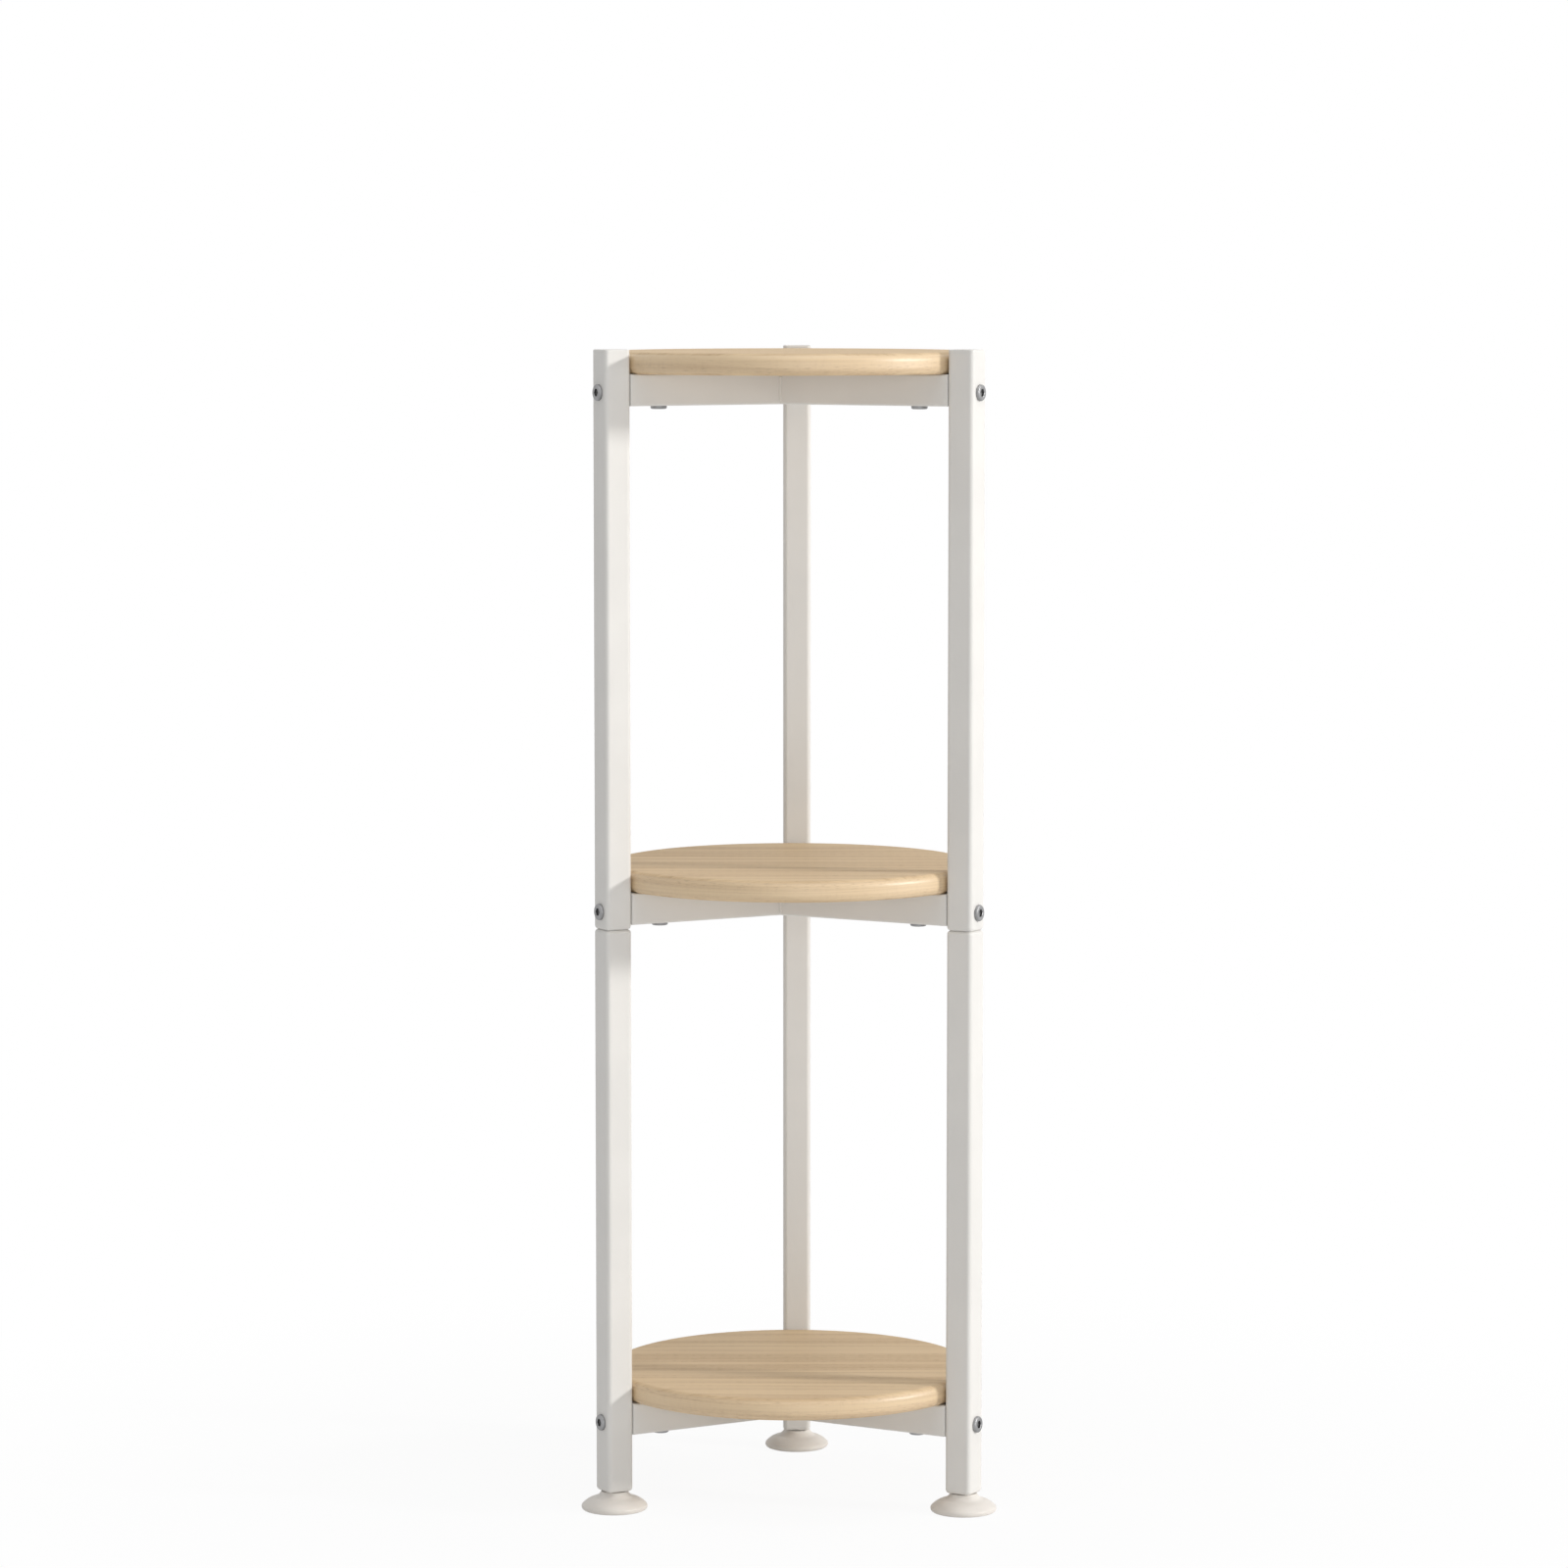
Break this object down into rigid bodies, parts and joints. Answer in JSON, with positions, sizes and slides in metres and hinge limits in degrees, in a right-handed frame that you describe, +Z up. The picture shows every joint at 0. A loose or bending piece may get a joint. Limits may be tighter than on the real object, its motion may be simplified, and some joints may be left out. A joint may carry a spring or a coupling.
{
  "type": "tiered plant stand",
  "caption": "Free-standing plant stand: round wooden boards on bolted metal arms between square metal posts, on screw-adjustable round feet.",
  "frame": {"origin": "on the floor, at the middle of the stand's outline seen from above", "axes": "+Z up along the posts, +X to the right across the open front between the two front posts, +Y to the back, towards the rear post"},
  "size_m": [0.2904, 0.294, 0.81],
  "materials": {
    "white_steel": "white powder coat, satin, fine texture",
    "oak": "light oak veneer, clear satin lacquer",
    "plain_steel": "bright zinc plate",
    "white_plastic": "moulded, matte"
  },
  "bodies": {
    "stand": {"left_upper_post": "white_steel", "left_lower_post": "white_steel", "left_post_sleeve": "plain_steel", "left_top_cap": "white_plastic", "left_foot_insert": "white_plastic", "right_upper_post": "white_steel", "right_lower_post": "white_steel", "right_post_sleeve": "plain_steel", "right_top_cap": "white_plastic", "right_foot_insert": "white_plastic", "rear_upper_post": "white_steel", "rear_lower_post": "white_steel", "rear_post_sleeve": "plain_steel", "rear_top_cap": "white_plastic", "rear_foot_insert": "white_plastic", "bottom_board": "oak", "bottom_left_arm": "white_steel", "bottom_right_arm": "white_steel", "bottom_rear_arm": "white_steel", "bottom_arm_end_plates": "white_steel", "bottom_arm_nuts": "plain_steel", "bottom_post_bolts": "plain_steel", "bottom_board_bolts": "plain_steel", "bottom_board_inserts": "plain_steel", "middle_board": "oak", "middle_left_arm": "white_steel", "middle_right_arm": "white_steel", "middle_rear_arm": "white_steel", "middle_arm_end_plates": "white_steel", "middle_arm_nuts": "plain_steel", "middle_post_bolts": "plain_steel", "middle_board_bolts": "plain_steel", "middle_board_inserts": "plain_steel", "top_board": "oak", "top_left_arm": "white_steel", "top_right_arm": "white_steel", "top_rear_arm": "white_steel", "top_arm_end_plates": "white_steel", "top_arm_nuts": "plain_steel", "top_post_bolts": "plain_steel", "top_board_bolts": "plain_steel", "top_board_inserts": "plain_steel"},
    "left_stud": {"left_foot_stud": "plain_steel"},
    "left_pad": {"left_foot_pad": "white_plastic"},
    "right_stud": {"right_foot_stud": "plain_steel"},
    "right_pad": {"right_foot_pad": "white_plastic"},
    "rear_stud": {"rear_foot_stud": "plain_steel"},
    "rear_pad": {"rear_foot_pad": "white_plastic"}
  },
  "joints": [
    {"name": "left_foot_screw", "type": "slide", "parent": "stand", "child": "left_stud", "axis": [0, 0, -1], "range_m": [0, 0.01]},
    {"name": "left_foot_turn", "type": "hinge", "parent": "left_stud", "child": "left_pad", "pos_m": [-0.12211, -0.08409, 0], "axis": [0, 0, -1], "range_deg": [0, 2880]},
    {"name": "right_foot_screw", "type": "slide", "parent": "stand", "child": "right_stud", "axis": [0, 0, -1], "range_m": [0, 0.01]},
    {"name": "right_foot_turn", "type": "hinge", "parent": "right_stud", "child": "right_pad", "pos_m": [0.12211, -0.09101, 0], "axis": [0, 0, -1], "range_deg": [0, 2880]},
    {"name": "rear_foot_screw", "type": "slide", "parent": "stand", "child": "rear_stud", "axis": [0, 0, -1], "range_m": [0, 0.01]},
    {"name": "rear_foot_turn", "type": "hinge", "parent": "rear_stud", "child": "rear_pad", "pos_m": [0.006, 0.12395, 0], "axis": [0, 0, -1], "range_deg": [0, 2880]}
  ],
  "couplings": [
    {"joint": "left_foot_screw", "follows": "left_foot_turn", "m_per_rad": 0.00019894},
    {"joint": "right_foot_screw", "follows": "right_foot_turn", "m_per_rad": 0.00019894},
    {"joint": "rear_foot_screw", "follows": "rear_foot_turn", "m_per_rad": 0.00019894}
  ]
}
